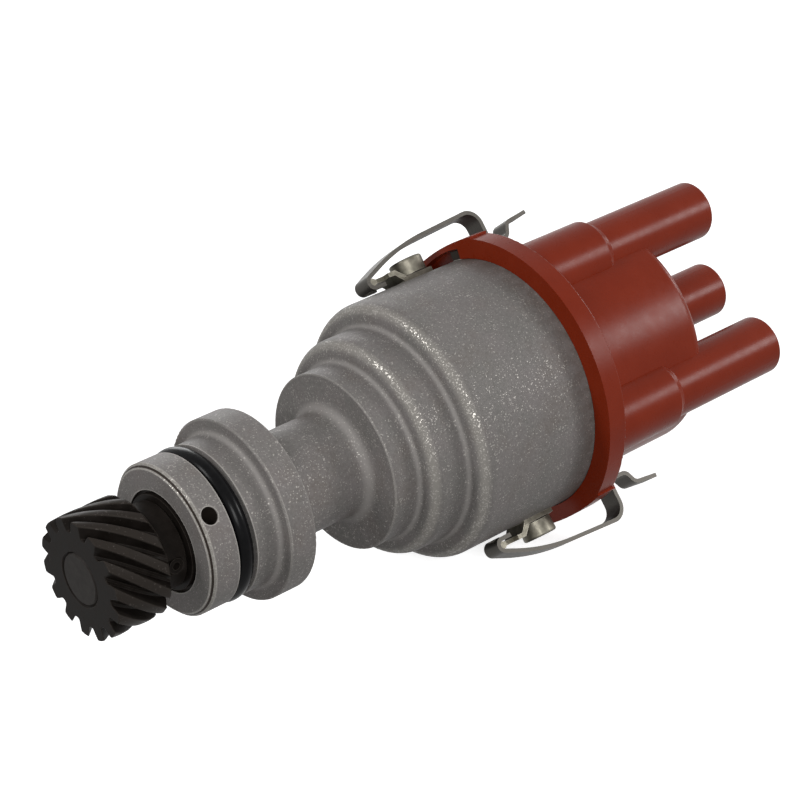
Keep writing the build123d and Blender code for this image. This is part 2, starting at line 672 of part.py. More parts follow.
def make_rotor_electrode():
    blade = Rectangle(ELECTRODE_W, electrode_r, align=(Align.CENTER, Align.MIN)) & Circle(electrode_r)
    blade += Circle(ELECTRODE_W / 2)
    return at_clock(ROTOR_CLOCK, slab(x_rotor_top, x_electrode_top, blade))


# ---------------------------------------------------------------- cap
def rim_outline():
    """Round rim with a flatter pad under each clip, whose corners stand a little proud."""
    outline = Circle(RIM_D / 2)
    corner_r = RIM_PAD_CORNER_D / 2
    corner_y, corner_z = polar(corner_r, 90 - RIM_PAD_HALF_ANGLE)
    drop = RIM_PAD_FLAT - corner_z
    pad_r = (corner_y ** 2 + drop ** 2) / (2 * drop)
    for clock in CLIP_CLOCKS:
        wedge = make_face(Polyline(
            (0, 0), (2 * corner_y, 2 * corner_z), (-2 * corner_y, 2 * corner_z), close=True
        ))
        pad = wedge & (Pos(0, RIM_PAD_FLAT - pad_r) * Circle(pad_r))
        outline = (outline - Rot(Z=clock) * wedge) + Rot(Z=clock) * pad
    return outline


def make_distributor_cap():
    cap = slab(x_rim, x_rim_top, rim_outline())
    cap = fillet(cap.edges().group_by(Axis.X)[-1], 0.5)
    for clock in CLIP_CLOCKS:
        lug = Pos(x_rim_top - 1, 0, dome_r - 2) * Box(
            LUG_LEN + 1, LUG_W, LUG_H + 2, align=(Align.MIN, Align.CENTER, Align.MIN)
        )
        lug = fillet(lug.edges().filter_by(Axis.Z).sort_by(Axis.X)[-2:], 1.5)
        cap += at_clock(clock, lug)
    cap += turned(
        [(x_rim + 1, 0), (x_rim + 1, dome_r), (x_dome_top, dome_r), (x_dome_top, 0)],
        [0, 0, DOME_ROUND, 0],
    )
    tower_profile = [
        (x_rim + 1, 0), (x_rim + 1, TOWER_BASE_D / 2), (x_rim_top + TOWER_BASE_LEN, TOWER_BASE_D / 2),
        (x_rim_top + TOWER_BASE_LEN + TOWER_TAPER_LEN, TOWER_D / 2), (x_tower_top, TOWER_D / 2),
        (x_tower_top, 0),
    ]
    tower = turned(tower_profile, [0, 0, 0.5, 0.5, TOWER_ROUND, 0])
    for index in range(TOWERS):
        cap += at_clock(TOWER_CLOCK + index * 360 / TOWERS, Pos(0, 0, tower_r) * tower)
    cap += turned(
        [(x_dome_top - 2, 0), (x_dome_top - 2, CENTRE_TOWER_D / 2), (x_centre_top, CENTRE_TOWER_D / 2),
         (x_centre_top, 0)],
        [0, 0, TOWER_ROUND, 0],
    )
    cap -= turned([
        (x_rim, 0), (x_rim, bowl_r + CAP_FIT), (x_mouth, bowl_r + CAP_FIT), (x_mouth, cave_r),
        (x_dome_top - DOME_WALL, cave_r), (x_dome_top - DOME_WALL, 0),
    ])
    notch = sector(x_rim, x_mouth, RIM_NOTCH_D / 2, bowl_r - 1, RIM_NOTCH_HALF_ANGLE)
    cap -= at_clock(RIM_NOTCH_CLOCK, notch)
    cap += rod(x_brush_top - BRUSH_GUIDE_LEN, x_dome_top - 1, BRUSH_BOSS_D / 2)
    cap -= rod(x_brush_top - BRUSH_GUIDE_LEN, x_centre_head, BRUSH_D / 2 + 0.05)
    cap -= rod(x_centre_head, x_centre_head + TERMINAL_HEAD_T, TERMINAL_HEAD_D / 2)
    cap -= rod(x_centre_head + TERMINAL_HEAD_T, x_centre_top, SOCKET_D / 2)
    for index in range(TOWERS):
        y, z = polar(tower_r, 90 + TOWER_CLOCK + index * 360 / TOWERS)
        x_socket = x_outer_head + TERMINAL_HEAD_T
        cap -= rod(x_terminal_tip, x_outer_head, STEM_D / 2, y, z)
        cap -= rod(x_outer_head, x_socket, TERMINAL_HEAD_D / 2, y, z)
        cap -= rod(x_socket, x_tower_top, SOCKET_D / 2, y, z)
    return cap


def make_outer_terminals():
    terminals = []
    for index in range(TOWERS):
        y, z = polar(tower_r, 90 + TOWER_CLOCK + index * 360 / TOWERS)
        stem = rod(x_terminal_tip, x_outer_head, STEM_D / 2, y, z)
        head = rod(x_outer_head, x_outer_head + TERMINAL_HEAD_T, TERMINAL_HEAD_D / 2, y, z)
        terminals.append((stem + head).solid())
    return Compound(children=terminals)


def make_centre_terminal():
    head = rod(x_centre_head, x_centre_head + TERMINAL_HEAD_T, TERMINAL_HEAD_D / 2)
    return head + rod(x_brush_top + BRUSH_SPRING_LEN, x_centre_head, BRUSH_D / 2)


def make_carbon_brush():
    return turned(
        [(x_brush, 0), (x_brush, BRUSH_D / 2), (x_brush_top, BRUSH_D / 2), (x_brush_top, 0)],
        [0, 1.4, 0, 0],
    )


def make_brush_spring():
    """Open coil between the brush and the terminal."""
    wire_r = BRUSH_WIRE_D / 2
    turns = BRUSH_COILS
    length = BRUSH_SPRING_LEN - 2 * wire_r
    radius = BRUSH_D / 2 - wire_r - 0.1
    path = Helix(length / turns, length, radius)
    section = Plane(origin=path @ 0, z_dir=path % 0) * Circle(wire_r)
    coil = sweep(section, path, is_frenet=True)
    return Pos(x_brush_top + wire_r, 0, 0) * (Rot(Y=90) * coil)


# ---------------------------------------------------------------- spring clips
def make_spring_clip(clock):
    """Bent strip: two fingers round the hinge, the bow, the hook and the finger tab."""
    half_t = CLIP_T / 2
    wrap_r = HINGE_PIN_D / 2 + RUNNING + half_t
    x_back = x_hinge - wrap_r - 0.02
    rise = radians(CLIP_RISE)
    z_low = hinge_r - wrap_r
    z_high = hinge_r + (wrap_r + 0.02) / cos(rise)
    z_top = bowl_r + CLIP_BOW_H - half_t
    x_leg = x_lug_top + HOOK_GAP + half_t
    z_valley = dome_r + LUG_H - CLIP_HOOK_H
    x_valley = x_leg + CLIP_VALLEY_LEN
    points = [
        ((x_hinge + CLIP_FINGER_LEN, z_low), 0),
        ((x_back, z_low), wrap_r),
        ((x_back, z_high + (x_back - x_hinge) * sin(rise) / cos(rise)), wrap_r),
        ((x_hinge + CLIP_BEND, z_high + CLIP_BEND * sin(rise) / cos(rise)), CLIP_BEND_R),
        ((x_leg, z_top), 4.0),
        ((x_leg, z_valley), 2.0),
        ((x_valley, z_valley), 2.0),
        ((x_valley + CLIP_KICK_LEN, z_valley + CLIP_KICK_H), 2.0),
        ((x_valley + CLIP_TAB_LEN, z_valley + CLIP_TAB_H), 0),
    ]
    radii = [radius for _, radius in points[1:-1]]
    path = Plane.XZ * FilletPolyline(*[point for point, _ in points], radius=radii)
    section = Plane(origin=path @ 0, z_dir=path % 0, x_dir=(0, 1, 0)) * Rectangle(CLIP_W, CLIP_T)
    strip = sweep(section, path)
    slot = Pos(x_hinge - BRACKET_T, 0, hinge_r) * Box(
        CLIP_FINGER_LEN + 2 * BRACKET_T, CLIP_SLOT_W, 2 * wrap_r,
        align=(Align.MIN, Align.CENTER, Align.MAX),
    )
    return at_clock(clock, strip - slot)


def make_clip_brackets():
    """Foot on the bowl, a wide slope up from it, a narrow tongue, and the hinge pin."""
    brackets = []
    z_tongue = hinge_r - BRACKET_T / 2
    z_tongue_top = z_tongue + BRACKET_T
    x_foot = x_screw - SCREW_HEAD_D / 2 - BRACKET_T
    x_foot_end = x_screw + SCREW_HEAD_D / 2 - 0.8
    x_top = x_foot - BRACKET_RAMP
    foot_half = degrees(asin(BRACKET_W / 2 / bowl_r))
    slope = Plane.XZ * make_face(Polyline(
        (x_foot, bowl_r + 0.1), (x_top, z_tongue), (x_top - BRACKET_SHOULDER, z_tongue),
        (x_top - BRACKET_SHOULDER, z_tongue_top), (x_top + BRACKET_T / 2, z_tongue_top),
        (x_foot + BRACKET_T, bowl_r + BRACKET_T - 0.1), close=True,
    ))
    for clock in CLIP_CLOCKS:
        bracket = sector(x_foot, x_foot_end, bowl_r + BRACKET_T, bowl_r, foot_half)
        bracket += extrude(slope, BRACKET_W / 2, both=True)
        bracket += Pos(x_hinge, 0, z_tongue) * Box(
            x_top - x_hinge, TONGUE_W, BRACKET_T, align=(Align.MIN, Align.CENTER, Align.MIN)
        )
        pin_plane = Plane(origin=(x_hinge, 0, hinge_r), z_dir=(0, 1, 0))
        bracket += extrude(pin_plane * Circle(HINGE_PIN_D / 2), CLIP_W / 2 - 0.4, both=True)
        bracket -= post(x_screw, bowl_r - 1, bowl_r + 3, SCREW_D / 2)
        brackets.append(at_clock(clock, bracket).solid())
    return Compound(children=brackets)


def make_clip_screws():
    screws = []
    z_seat = bowl_r + BRACKET_T
    for clock in CLIP_CLOCKS:
        head_plane = Pos(x_screw, 0, z_seat + SCREW_HEAD_H)
        head = head_plane * extrude(Circle(SCREW_HEAD_D / 2), -SCREW_HEAD_H, taper=SCREW_HEAD_TAPER)
        head = fillet(head.edges().group_by(Axis.Z)[-1], 0.6)
        shank = post(x_screw, bore_r + 0.6, z_seat, SCREW_D / 2)
        screws.append(at_clock(clock, head + shank).solid())
    return Compound(children=screws)


# ---------------------------------------------------------------- places in the cross plane
PLATE_SCREW_CLOCKS = (60.0, 240.0)
PLATE_SCREW_R = bore_r - 3.4
ROTOR_CLOCK = TOWER_CLOCK + 90
x_pin = x_hub_end - GEAR_HUB_LEN / 2 - 0.4
x_arm = x_cam + 0.5
x_point = x_arm + ARM_H / 2
x_spring = x_yoke_top + SPRING_D / 2 + 0.4
spring_post_r = ADVANCE_PLATE_D / 2 - 2.4
spring_post_angle = -17.0
yoke_post_r = 8.8
yoke_post_angle = 47.0
point_y = CAM_PEAK_D / 2 + POINT_D / 2 + POINT_ROOM
arm_post_y = point_y + 2.4 - ARM_REACH
contact_screw_y = point_y + 1.5
contact_screw_z = 1.6


# ---------------------------------------------------------------- the assembly
def build_all():
    return {
        "housing": make_housing(),
        "collar_seal": make_collar_seal(),
        "drive_shaft": make_drive_shaft(),
        "drive_gear": make_drive_gear(),
        "gear_pin": make_gear_pin(),
        "lower_bush": make_lower_bush(),
        "upper_bush": make_bush(x_floor - UPPER_BUSH_LEN, UPPER_BUSH_LEN),
        "thrust_washer": ring(x_bush_end - WASHER_T, x_bush_end, WASHER_D / 2, shaft_r + 0.2),
        "upper_washer": ring(x_floor, x_floor + WASHER_T, UPPER_WASHER_D / 2, shaft_r + 0.2),
        "advance_plate": make_advance_plate(),
        "bob_weight_a": make_bob_weight(0),
        "bob_weight_b": make_bob_weight(180),
        "advance_springs": make_advance_springs(),
        "cam_sleeve": make_cam_sleeve(),
        "sleeve_ring": make_sleeve_ring(),
        "felt_wick": make_felt_wick(),
        "breaker_plate": make_breaker_plate(),
        "plate_screws": make_plate_screws(),
        "arm_post": make_arm_post(),
        "breaker_arm": make_breaker_arm(),
        "arm_spring": make_arm_spring(),
        "fixed_contact": make_fixed_contact(),
        "contact_screw": make_contact_screw(),
        "condenser": make_condenser(),
        "lead_grommet": make_lead_grommet(),
        "rotor_arm": make_rotor_arm(),
        "rotor_electrode": make_rotor_electrode(),
        "distributor_cap": make_distributor_cap(),
        "outer_terminals": make_outer_terminals(),
        "centre_terminal": make_centre_terminal(),
        "carbon_brush": make_carbon_brush(),
        "brush_spring": make_brush_spring(),
        "clip_left": make_spring_clip(CLIP_CLOCKS[0]),
        "clip_right": make_spring_clip(CLIP_CLOCKS[1]),
        "clip_brackets": make_clip_brackets(),
        "clip_screws": make_clip_screws(),
    }


os.makedirs("parts", exist_ok=True)
for node, shape in build_all().items():
    export_step(shape, f"parts/{node}.step")
    print(node, len(shape.solids()), round(shape.volume, 1))
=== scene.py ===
# %% [markdown]
# # An ignition distributor, dressed for the camera
# The solids of this distributor come from a CAD model, in metres: +X runs along the shaft
# from the drive gear to the cap, +Z is up, and the origin is on the shaft's axis at the
# flange. This script loads them, gives each one a finish, and adds the small pieces that
# are easier to make as meshes. It starts with the load, and keeps the box of the bare
# model, which sets the floor's height.

# %% Load the model
import math

import bmesh
import bpy
from mathutils import Matrix, Vector


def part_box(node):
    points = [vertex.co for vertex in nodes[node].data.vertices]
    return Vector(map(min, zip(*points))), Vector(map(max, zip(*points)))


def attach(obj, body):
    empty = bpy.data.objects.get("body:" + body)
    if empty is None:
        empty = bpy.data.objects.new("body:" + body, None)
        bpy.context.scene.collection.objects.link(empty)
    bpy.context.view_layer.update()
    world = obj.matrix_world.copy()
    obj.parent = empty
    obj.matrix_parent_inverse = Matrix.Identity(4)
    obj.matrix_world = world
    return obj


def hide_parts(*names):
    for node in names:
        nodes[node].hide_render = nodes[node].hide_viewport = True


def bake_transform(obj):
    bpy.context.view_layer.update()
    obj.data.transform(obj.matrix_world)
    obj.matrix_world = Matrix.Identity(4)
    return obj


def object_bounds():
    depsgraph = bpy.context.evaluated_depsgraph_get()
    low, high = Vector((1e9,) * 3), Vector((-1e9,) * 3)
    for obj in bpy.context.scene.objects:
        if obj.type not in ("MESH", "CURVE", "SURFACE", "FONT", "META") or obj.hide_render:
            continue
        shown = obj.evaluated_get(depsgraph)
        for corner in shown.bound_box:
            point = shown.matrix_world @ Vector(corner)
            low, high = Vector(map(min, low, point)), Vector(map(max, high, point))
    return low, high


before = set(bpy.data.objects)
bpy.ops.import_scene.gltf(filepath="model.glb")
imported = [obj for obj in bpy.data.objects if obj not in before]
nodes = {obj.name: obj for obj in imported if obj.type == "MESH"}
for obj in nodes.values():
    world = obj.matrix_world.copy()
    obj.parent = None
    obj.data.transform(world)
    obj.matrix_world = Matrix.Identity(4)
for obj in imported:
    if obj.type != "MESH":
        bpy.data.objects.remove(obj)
cad_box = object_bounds()
print("model's box in mm:", [[round(v * 1000, 1) for v in corner] for corner in cad_box])

# %% [markdown]
# ## The camera
# A long lens from the front left and above, as in a parts catalogue. It could be aimed
# with a Track To constraint, but its place and turn are set outright here, because the
# three directions of its view are known: right, up and forward make its matrix.

# %% Camera
LENS_MM = 108.1
SENSOR_MM = 36.0
NEAREST, FARTHEST = 0.05, 20.0
CAMERA_PLACE = (-0.2881, -0.3883, 0.3201)
VIEW_RIGHT = (0.7498, -0.6616, 0.0)
VIEW_FORWARD = (0.5673, 0.6429, -0.5146)

camera_data = bpy.data.cameras.new("camera")
camera_data.lens = LENS_MM
camera_data.sensor_width = SENSOR_MM
camera_data.clip_start = NEAREST
camera_data.clip_end = FARTHEST
camera = bpy.data.objects.new("camera", camera_data)
bpy.context.scene.collection.objects.link(camera)
right = Vector(VIEW_RIGHT).normalized()
forward = Vector(VIEW_FORWARD).normalized()
up = right.cross(forward)
camera_turn = Matrix((right, up, -forward)).transposed()
camera.matrix_world = Matrix.Translation(CAMERA_PLACE) @ camera_turn.to_4x4()
bpy.context.scene.camera = camera
print("camera at", tuple(round(v, 3) for v in camera.location), "lens", camera_data.lens, "mm")

# %% [markdown]
# ## Floor, world and lamps
# The ground is white. The Light Path node tells which kind of ray meets a surface: the
# camera and mirror-like surfaces see plain white, while the light that the world sheds on
# the object stays low, so that the lamps shape it. Plain white behind a lit floor could
# also be painted in afterwards, but then the floor would lose its shadow.

# %% Which rays see white
def joined(tree, operation, first, second):
    """One Math node between two sockets."""
    made = tree.nodes.new("ShaderNodeMath")
    made.operation = operation
    tree.links.new(first, made.inputs[0])
    tree.links.new(second, made.inputs[1])
    return made.outputs["Value"]


def seen_directly(tree):
    """1 for camera, glossy and transmission rays, 0 for the light that spreads."""
    path = tree.nodes.new("ShaderNodeLightPath")
    glossy = joined(tree, "MAXIMUM", path.outputs["Is Camera Ray"], path.outputs["Is Glossy Ray"])
    return joined(tree, "MAXIMUM", glossy, path.outputs["Is Transmission Ray"])


def between(tree, factor, low, high, start=0.0, end=1.0):
    """Low where the factor is at start, high where it is at end, and a blend between them."""
    made = tree.nodes.new("ShaderNodeMapRange")
    made.inputs["From Min"].default_value = start
    made.inputs["From Max"].default_value = end
    made.inputs["To Min"].default_value = low
    made.inputs["To Max"].default_value = high
    tree.links.new(factor, made.inputs["Value"])
    return made.outputs["Result"]


print("two helpers tell direct sight from spread light")

# %% [markdown]
# The floor glows a little less near the object, where its paint adds the lamps' light and
# still takes a faint shadow, and glows fully far away, where a low view would otherwise
# show a grey horizon. Its paint is pale for the camera alone. For every other ray it is
# dark, or the floor would light the object's underside.

# %% Floor
NEAR_GLOW, FAR_GLOW = 0.74, 1.0
GLOW_STARTS, GLOW_FULL = 0.35, 0.75
HIDDEN_TONE, SEEN_TONE = 0.1, 0.85
FLOOR_DROP = 0.0004
FLOOR_REACH = 2.5
FLOOR_MIDDLE = 0.06

ground = bpy.data.materials.new("pale_floor")
ground.use_nodes = True
ground_tree = ground.node_tree
paint = ground_tree.nodes["Principled BSDF"]
paint.inputs["Roughness"].default_value = 0.9
paint.inputs["Specular IOR Level"].default_value = 0.0
paint.inputs["Emission Color"].default_value = (1.0, 1.0, 1.0, 1.0)
from_middle = ground_tree.nodes.new("ShaderNodeVectorMath")
from_middle.operation = "LENGTH"
floor_spot = ground_tree.nodes.new("ShaderNodeTexCoord").outputs["Object"]
ground_tree.links.new(floor_spot, from_middle.inputs[0])
glow = between(ground_tree, from_middle.outputs["Value"], NEAR_GLOW, FAR_GLOW, GLOW_STARTS, GLOW_FULL)
shown_glow = joined(ground_tree, "MULTIPLY", seen_directly(ground_tree), glow)
ground_tree.links.new(shown_glow, paint.inputs["Emission Strength"])
camera_ray = ground_tree.nodes.new("ShaderNodeLightPath").outputs["Is Camera Ray"]
tone = between(ground_tree, camera_ray, HIDDEN_TONE, SEEN_TONE)
grey = ground_tree.nodes.new("ShaderNodeCombineColor")
for channel in ("Red", "Green", "Blue"):
    ground_tree.links.new(tone, grey.inputs[channel])
ground_tree.links.new(grey.outputs["Color"], paint.inputs["Base Color"])

floor_z = cad_box[0].z - FLOOR_DROP
floor_mesh = bmesh.new()
bmesh.ops.create_grid(floor_mesh, x_segments=1, y_segments=1, size=FLOOR_REACH)
bmesh.ops.translate(floor_mesh, vec=(FLOOR_MIDDLE, 0.0, floor_z), verts=floor_mesh.verts)
floor_data = bpy.data.meshes.new("floor")
floor_mesh.to_mesh(floor_data)
floor_mesh.free()
floor = bpy.data.objects.new("floor", floor_data)
bpy.context.scene.collection.objects.link(floor)
floor_data.materials.append(ground)
print("floor at", round(floor_z * 1000, 1), "mm")

# %% [markdown]
# Five square lamps stand round the object. Their sides are about as long as the object
# itself, so the highlights on the castings are wide and soft. The key lamp lights the side
# that faces the camera, the back lamp draws the light edge along the top, and a weak one
# behind keeps the far side readable. Point lamps would leave hard dots on the cap.

# %% World and lamps
WORLD_LIGHT, WORLD_SEEN = 0.12, 1.0

world = bpy.data.worlds.new("studio")
bpy.context.scene.world = world
world.use_nodes = True
sky = world.node_tree.nodes["Background"]
sky.inputs["Color"].default_value = (1.0, 1.0, 1.0, 1.0)
sky_level = between(world.node_tree, seen_directly(world.node_tree), WORLD_LIGHT, WORLD_SEEN)
world.node_tree.links.new(sky_level, sky.inputs["Strength"])
bpy.context.scene.view_settings.view_transform = "Standard"


def soft_lamp(name, place, aim_x, side, watts):
    """A square lamp that points at a spot on the shaft's axis."""
    data = bpy.data.lights.new(name, "AREA")
    data.shape = "SQUARE"
    data.size = side
    data.energy = watts
    lamp = bpy.data.objects.new(name, data)
    bpy.context.scene.collection.objects.link(lamp)
    lamp.location = place
    lamp.rotation_mode = "QUATERNION"
    lamp.rotation_quaternion = (Vector((aim_x, 0.0, 0.0)) - Vector(place)).to_track_quat("-Z", "Y")
    return lamp


soft_lamp("key_lamp", (-0.28, -0.56, 0.36), 0.05, 0.26, 3.1)
soft_lamp("right_lamp", (0.68, -0.48, 0.34), 0.12, 0.22, 2.5)
soft_lamp("end_lamp", (0.85, -0.05, 0.25), 0.14, 0.2, 1.1)
soft_lamp("back_lamp", (-0.5, 0.24, 0.54), 0.03, 0.22, 2.3)
soft_lamp("fill_lamp", (0.4, 0.8, 0.16), 0.06, 0.4, 2.0)

# %% [markdown]
# ## Helpers for materials
# Each finish is one Principled shader with noise on Object coordinates behind it. The
# helpers below name the few steps that every finish repeats: a noise of a given grain
# size, a ramp between two colours, a bump, and masks. The mask for worn edges compares the
# true normal with one rounded by the Bevel node; on the casting it also paints highlights
# along the sharp edges. The masks for slanting faces and for bands along the shaft paint
# highlights and shade in rings round a turned form. Painted textures could do the same, but
# these need no unwrapping and stay sharp at any distance.

# %% Material helpers
MM = 0.001
BEVEL_SAMPLES = 6


class Finish:
    """A node tree round one Principled shader, with the steps that the finishes share."""

    def __init__(self, name, color, roughness, metallic=0.0):
        self.material = bpy.data.materials.new(name)
        self.material.use_nodes = True
        self.tree = self.material.node_tree
        self.shader = self.tree.nodes["Principled BSDF"]
        self.shader.inputs["Base Color"].default_value = (*color, 1.0)
        self.shader.inputs["Roughness"].default_value = roughness
        self.shader.inputs["Metallic"].default_value = metallic
        self.place = self.tree.nodes.new("ShaderNodeTexCoord").outputs["Object"]

    def node(self, kind, **inputs):
        """A new node with these input values; _ in a name stands for a space."""
        made = self.tree.nodes.new("ShaderNode" + kind)
        for key, value in inputs.items():
            made.inputs[key.replace("_", " ")].default_value = value
        return made

    def link(self, source, target):
        """Joins one node's output to another's input."""
        self.tree.links.new(source, target)

    def noise(self, grain_mm, detail=3.0, rough=0.55, stretch=(1.0, 1.0, 1.0)):
        """Noise whose blobs are about grain_mm across; stretch makes streaks."""
        mapping = self.node("Mapping", Scale=stretch)
        self.link(self.place, mapping.inputs["Vector"])
        made = self.node("TexNoise", Scale=1.0 / (grain_mm * MM), Detail=detail, Roughness=rough)
        self.link(mapping.outputs["Vector"], made.inputs["Vector"])
        return made.outputs["Fac"]

    def ramp(self, fac, low, high, color_a, color_b):
        """Colour A up to low, colour B from high, and a blend between them."""
        made = self.tree.nodes.new("ShaderNodeValToRGB")
        made.color_ramp.elements[0].position = low
        made.color_ramp.elements[1].position = high
        made.color_ramp.elements[0].color = (*color_a, 1.0)
        made.color_ramp.elements[1].color = (*color_b, 1.0)
        self.link(fac, made.inputs["Fac"])
        return made.outputs["Color"]

    def levels(self, fac, low, high, out_a, out_b):
        """The same for a plain number."""
        made = self.node("MapRange")
        made.inputs["From Min"].default_value = low
        made.inputs["From Max"].default_value = high
        made.inputs["To Min"].default_value = out_a
        made.inputs["To Max"].default_value = out_b
        self.link(fac, made.inputs["Value"])
        return made.outputs["Result"]

    def mix(self, fac, color_a, color_b):
        """Colour A where fac is 0, colour B where it is 1; each is a colour or a socket."""
        made = self.tree.nodes.new("ShaderNodeMix")
        made.data_type = "RGBA"
        colors = [s for s in made.inputs if s.type == "RGBA"]
        for socket, value in zip(colors, (color_a, color_b)):
            if isinstance(value, tuple):
                socket.default_value = (*value, 1.0)
            else:
                self.link(value, socket)
        self.link(fac, next(s for s in made.inputs if s.type == "VALUE"))
        return next(s for s in made.outputs if s.type == "RGBA")

    def compare(self, value, threshold, softness):
        """1 where the value is over the threshold, with a short blend."""
        return self.levels(self.math("SUBTRACT", value, threshold), 0.0, softness, 0.0, 1.0)

    def edges(self, width_mm, strength=6.0):
        """1 along the sharp edges and 0 on the faces."""
        bevel = self.tree.nodes.new("ShaderNodeBevel")
        bevel.samples = BEVEL_SAMPLES
        bevel.inputs["Radius"].default_value = width_mm * MM
        geometry = self.tree.nodes.new("ShaderNodeNewGeometry")
        dot = self.tree.nodes.new("ShaderNodeVectorMath")
        dot.operation = "DOT_PRODUCT"
        self.link(bevel.outputs["Normal"], dot.inputs[0])
        self.link(geometry.outputs["Normal"], dot.inputs[1])
        return self.levels(dot.outputs["Value"], 1.0, 1.0 - 1.0 / strength, 0.0, 1.0)

    def slant(self):
        """1 where the surface leans 45 degrees between the shaft's line and square to it."""
        normal = self.tree.nodes.new("ShaderNodeTexCoord").outputs["Normal"]
        parts = self.node("SeparateXYZ")
        self.link(normal, parts.inputs["Vector"])
        square = self.math("MULTIPLY", parts.outputs["X"], parts.outputs["X"])
        rest = self.math("SUBTRACT", 1.0, square)
        return self.math("MULTIPLY", self.math("MULTIPLY", square, 4.0), rest)

    def axis_parts(self):
        """The place along the shaft in mm, and the distance from its axis in mm."""
        scaled = self.node("VectorMath")
        scaled.operation = "SCALE"
        scaled.inputs["Scale"].default_value = 1.0 / MM
        self.link(self.place, scaled.inputs[0])
        parts = self.node("SeparateXYZ")
        self.link(scaled.outputs["Vector"], parts.inputs["Vector"])
        across = self.math("POWER", parts.outputs["Y"], 2.0)
        upward = self.math("POWER", parts.outputs["Z"], 2.0)
        return parts.outputs["X"], self.math("SQRT", self.math("ADD", across, upward), 0.0)

    def bands(self, place, *spans):
        """1 in each span (start, end) in mm along the shaft, 0 outside."""
        total = None
        for start, end in spans:
            inside = self.math("COMPARE", place, (start + end) / 2.0)
            inside.node.inputs[2].default_value = (end - start) / 2.0
            total = inside if total is None else self.math("MAXIMUM", total, inside)
        return total

    def math(self, operation, first, second):
        """One Math node between sockets or plain numbers."""
        made = self.node("Math")
        made.operation = operation
        for socket, value in zip(made.inputs, (first, second)):
            if isinstance(value, float):
                socket.default_value = value
            else:
                self.link(value, socket)
        return made.outputs[0]

    def bump(self, height, depth_mm, strength=1.0):
        """Tilts the shading as if the surface rose and fell by depth_mm."""
        made = self.node("Bump", Strength=strength, Distance=depth_mm * MM)
        self.link(height, made.inputs["Height"])
        self.link(made.outputs["Normal"], self.shader.inputs["Normal"])

    def color(self, socket):
        """The surface's own colour."""
        self.link(socket, self.shader.inputs["Base Color"])

    def mottle(self, grain_mm, detail, low, high, color_a, color_b, rough=0.55):
        """The plainest finish: a colour that wanders between two shades."""
        self.color(self.ramp(self.noise(grain_mm, detail, rough), low, high, color_a, color_b))

    def wander(self, grain_mm, detail, smoothest, roughest):
        """Roughness that wanders between two levels."""
        self.roughness(self.levels(self.noise(grain_mm, detail), 0.3, 0.7, smoothest, roughest))

    def reflect(self, level):
        """How strongly a coated or non-metal surface mirrors what is around it."""
        self.shader.inputs["Specular IOR Level"].default_value = level

    def roughness(self, socket):
        """From 0, a mirror, to 1, chalk."""
        self.link(socket, self.shader.inputs["Roughness"])


def dress(finish, *names):
    """Gives the finish to these CAD nodes in place of the plain one they come with."""
    for name in names:
        data = nodes[name].data
        data.materials.clear()
        data.materials.append(finish.material)
    print(finish.material.name, "->", ", ".join(names))


print("nodes without a finish so far:", len(nodes))

# %% [markdown]
# ## The cast housing
# The housing is cast aluminium, cleaned by blasting with fine glass beads. That leaves a
# matte grey with a fine grain, and tiny facets that glint. The colour is built up in layers,
# as the real skin is: first a grey that drifts between cooler and warmer, with brownish
# stains, and the grain of the beads over it.

# %% Blasted aluminium: ground tone and grain
COOL_GREY, WARM_GREY = (0.147, 0.141, 0.132), (0.17, 0.155, 0.15)
STAIN_BROWN = (0.134, 0.112, 0.097)
GRAIN_LIGHT = (0.265, 0.248, 0.24)

cast = Finish("blasted_aluminium", (0.16, 0.15, 0.142), 0.5)
ground_tone = cast.ramp(cast.noise(11.0, 4.0), 0.35, 0.65, COOL_GREY, WARM_GREY)
stain = cast.levels(cast.noise(13.0, 5.0, 0.65), 0.5, 0.68, 0.0, 0.55)
stained = cast.mix(stain, ground_tone, STAIN_BROWN)
grain = cast.levels(cast.noise(0.7, 3.0, 0.7), 0.3, 0.75, 0.0, 0.55)
grainy = cast.mix(grain, stained, GRAIN_LIGHT)
print("ground tone, stains and grain laid")

# %% [markdown]
# Painted highlights: the filleted corners between two tiers and the rounded crowns are made
# paler, as the lamps' highlights fall along them. Both are rings round the shaft, so a mask
# of slanting faces is cut to bands along it. Inside a band the mask is strongest where the
# surface leans 45 degrees.

# %% Painted highlights on corners and crowns
CORNERS = ((-2.2, -0.05), (7.75, 11.4), (28.9, 32.55), (38.9, 40.55), (50.1, 51.75))
CROWNS = ((-20.2, -18.9), (40.65, 44.6), (51.85, 56.0))
CORNER_HIGHLIGHT, CROWN_HIGHLIGHT = (0.287, 0.27, 0.257), (0.33, 0.312, 0.282)

x_mm, radius_mm = cast.axis_parts()
lean = cast.levels(cast.slant(), 0.25, 1.0, 0.0, 1.0)
# the painted highlight on the corners; smooth holds the colour with it painted in
corner = cast.math("MULTIPLY", lean, cast.bands(x_mm, *CORNERS))
smooth = cast.mix(cast.math("MULTIPLY", corner, 0.75), grainy, CORNER_HIGHLIGHT)
# the painted highlight on the crowns, where the glints also gather
crown_highlight_band = cast.math("MULTIPLY", lean, cast.bands(x_mm, *CROWNS))
crown_highlighted = cast.mix(cast.math("MULTIPLY", crown_highlight_band, 0.6), smooth, CROWN_HIGHLIGHT)
print("corners:", len(CORNERS), "crowns:", len(CROWNS))

# %% [markdown]
# Glints are the top of a fine noise, cut off at a threshold. The threshold is lower on the
# crowns, where the painted highlight lies, and in some patches, so the sparkle gathers
# there. Each glint is a painted glint: a light fleck in the colour, which is also more
# metallic and less rough than the skin round it, so that it catches the lamps as well.

# %% Painted glints, and worn edges with painted highlights
PAINTED_GLINT, EDGE_WEAR_AND_HIGHLIGHT = (0.4, 0.38, 0.35), (0.42, 0.4, 0.37)
RARE, COMMON = 0.655, 0.575

